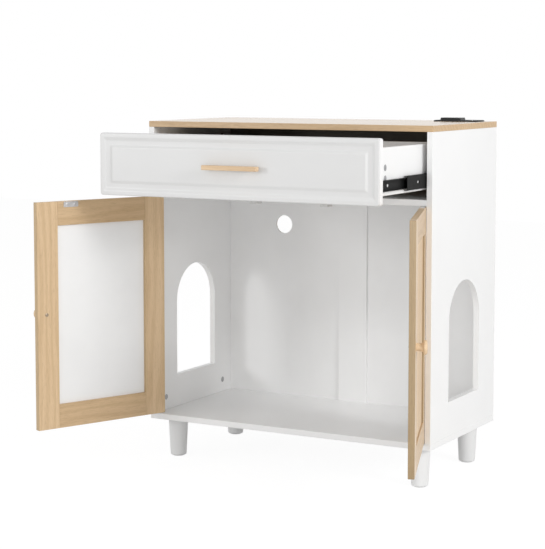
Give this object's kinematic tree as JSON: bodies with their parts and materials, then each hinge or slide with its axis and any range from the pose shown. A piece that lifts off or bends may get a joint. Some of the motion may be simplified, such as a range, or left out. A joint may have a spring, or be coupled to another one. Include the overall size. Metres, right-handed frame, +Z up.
{
  "type": "litter box enclosure",
  "caption": "Legged cabinet that hides a litter box: arched side entrances, framed inset doors below a drawer on ball slides, and a power module in its top.",
  "frame": {"origin": "on the floor, under the middle of the whole object as it stands with its drawer pulled and its doors open; the cabinet itself is centred across on it", "axes": "+X to the right seen from the front, +Y to the back, +Z up"},
  "size_m": [1.0746, 0.7523, 0.8945],
  "materials": {
    "oak_board": "oak foil, satin",
    "oak": "oak, clear satin",
    "white_board": "white melamine, satin",
    "white_panel": "white coated hardboard, satin",
    "white_lacquer": "white lacquer, satin",
    "hardboard": "raw brown hardboard, matte",
    "door_panel": "white inside, oak foil outside, satin",
    "steel": "zinc plated steel",
    "plated_steel": "zinc plated sheet",
    "ball_steel": "bright bearing steel",
    "zinc": "cast zinc",
    "black_steel": "black coated sheet steel",
    "black_plastic": "black plastic, fine texture",
    "catch_plastic": "white plastic",
    "glide_nylon": "pale nylon",
    "bushing_nylon": "dark nylon"
  },
  "bodies": {
    "cabinet": {"top_board": "oak_board", "left_side_panel": "white_board", "right_side_panel": "white_board", "bottom_board": "white_board", "divider_board": "white_board", "left_back_panel": "white_panel", "right_back_panel": "white_panel", "upper_back_panel": "hardboard", "back_stile": "white_board", "front_left_leg": "white_lacquer", "front_right_leg": "white_lacquer", "back_left_leg": "white_lacquer", "back_right_leg": "white_lacquer", "leg_bolts": "steel", "leg_glides": "glide_nylon", "cabinet_cam_locks": "zinc", "cabinet_cam_bolts": "steel", "left_slide_cabinet_member": "black_steel", "right_slide_cabinet_member": "black_steel", "cabinet_slide_screws": "steel", "left_magnetic_catch": "catch_plastic", "right_magnetic_catch": "catch_plastic", "pivot_bushings": "bushing_nylon", "power_module_bezel": "black_plastic", "power_module_housing": "black_plastic", "power_module_outlet_block": "black_plastic"},
    "drawer": {"drawer_front": "white_lacquer", "drawer_left_side": "white_board", "drawer_right_side": "white_board", "drawer_back": "white_board", "drawer_bottom": "white_panel", "drawer_handle": "oak", "drawer_screws": "steel", "drawer_cam_locks": "zinc", "drawer_cam_bolts": "steel", "left_slide_drawer_member": "black_steel", "right_slide_drawer_member": "black_steel", "drawer_slide_screws": "steel"},
    "left_middle_slide": {"left_slide_middle_member": "black_steel"},
    "right_middle_slide": {"right_slide_middle_member": "black_steel"},
    "outer_cages": {"outer_ball_cages": "ball_steel"},
    "inner_cages": {"inner_ball_cages": "ball_steel"},
    "left_door": {"left_door_hinge_stile": "oak", "left_door_free_stile": "oak", "left_door_top_rail": "oak", "left_door_bottom_rail": "oak", "left_door_panel": "door_panel", "left_door_knob": "oak", "left_door_knob_screw": "steel", "left_door_strike_plate": "plated_steel", "left_door_pivots": "black_steel"},
    "right_door": {"right_door_hinge_stile": "oak", "right_door_free_stile": "oak", "right_door_top_rail": "oak", "right_door_bottom_rail": "oak", "right_door_panel": "door_panel", "right_door_knob": "oak", "right_door_knob_screw": "steel", "right_door_strike_plate": "plated_steel", "right_door_pivots": "black_steel"}
  },
  "joints": [
    {"name": "drawer_slide", "type": "slide", "parent": "cabinet", "child": "drawer", "axis": [0, -1, 0], "range_m": [-0.25095, 0.09905]},
    {"name": "left_middle_slide_travel", "type": "slide", "parent": "cabinet", "child": "left_middle_slide", "axis": [0, -1, 0], "range_m": [-0.1256, 0.0496]},
    {"name": "right_middle_slide_travel", "type": "slide", "parent": "cabinet", "child": "right_middle_slide", "axis": [0, -1, 0], "range_m": [-0.1256, 0.0496]},
    {"name": "outer_cage_travel", "type": "slide", "parent": "cabinet", "child": "outer_cages", "axis": [0, -1, 0], "range_m": [-0.0628, 0.0248]},
    {"name": "inner_cage_travel", "type": "slide", "parent": "cabinet", "child": "inner_cages", "axis": [0, -1, 0], "range_m": [-0.1883, 0.0743]},
    {"name": "left_door_hinge", "type": "hinge", "parent": "cabinet", "child": "left_door", "pos_m": [-0.373, -0.0275, 0.4055], "axis": [0, 0, -1], "range_deg": [-113, 2]},
    {"name": "right_door_hinge", "type": "hinge", "parent": "cabinet", "child": "right_door", "pos_m": [0.373, -0.0275, 0.4055], "axis": [0, 0, 1], "range_deg": [-110.5, 4.5]}
  ],
  "couplings": [
    {"joint": "left_middle_slide_travel", "follows": "drawer_slide", "ratio": 0.5},
    {"joint": "right_middle_slide_travel", "follows": "drawer_slide", "ratio": 0.5},
    {"joint": "outer_cage_travel", "follows": "drawer_slide", "ratio": 0.25},
    {"joint": "inner_cage_travel", "follows": "drawer_slide", "ratio": 0.75}
  ]
}
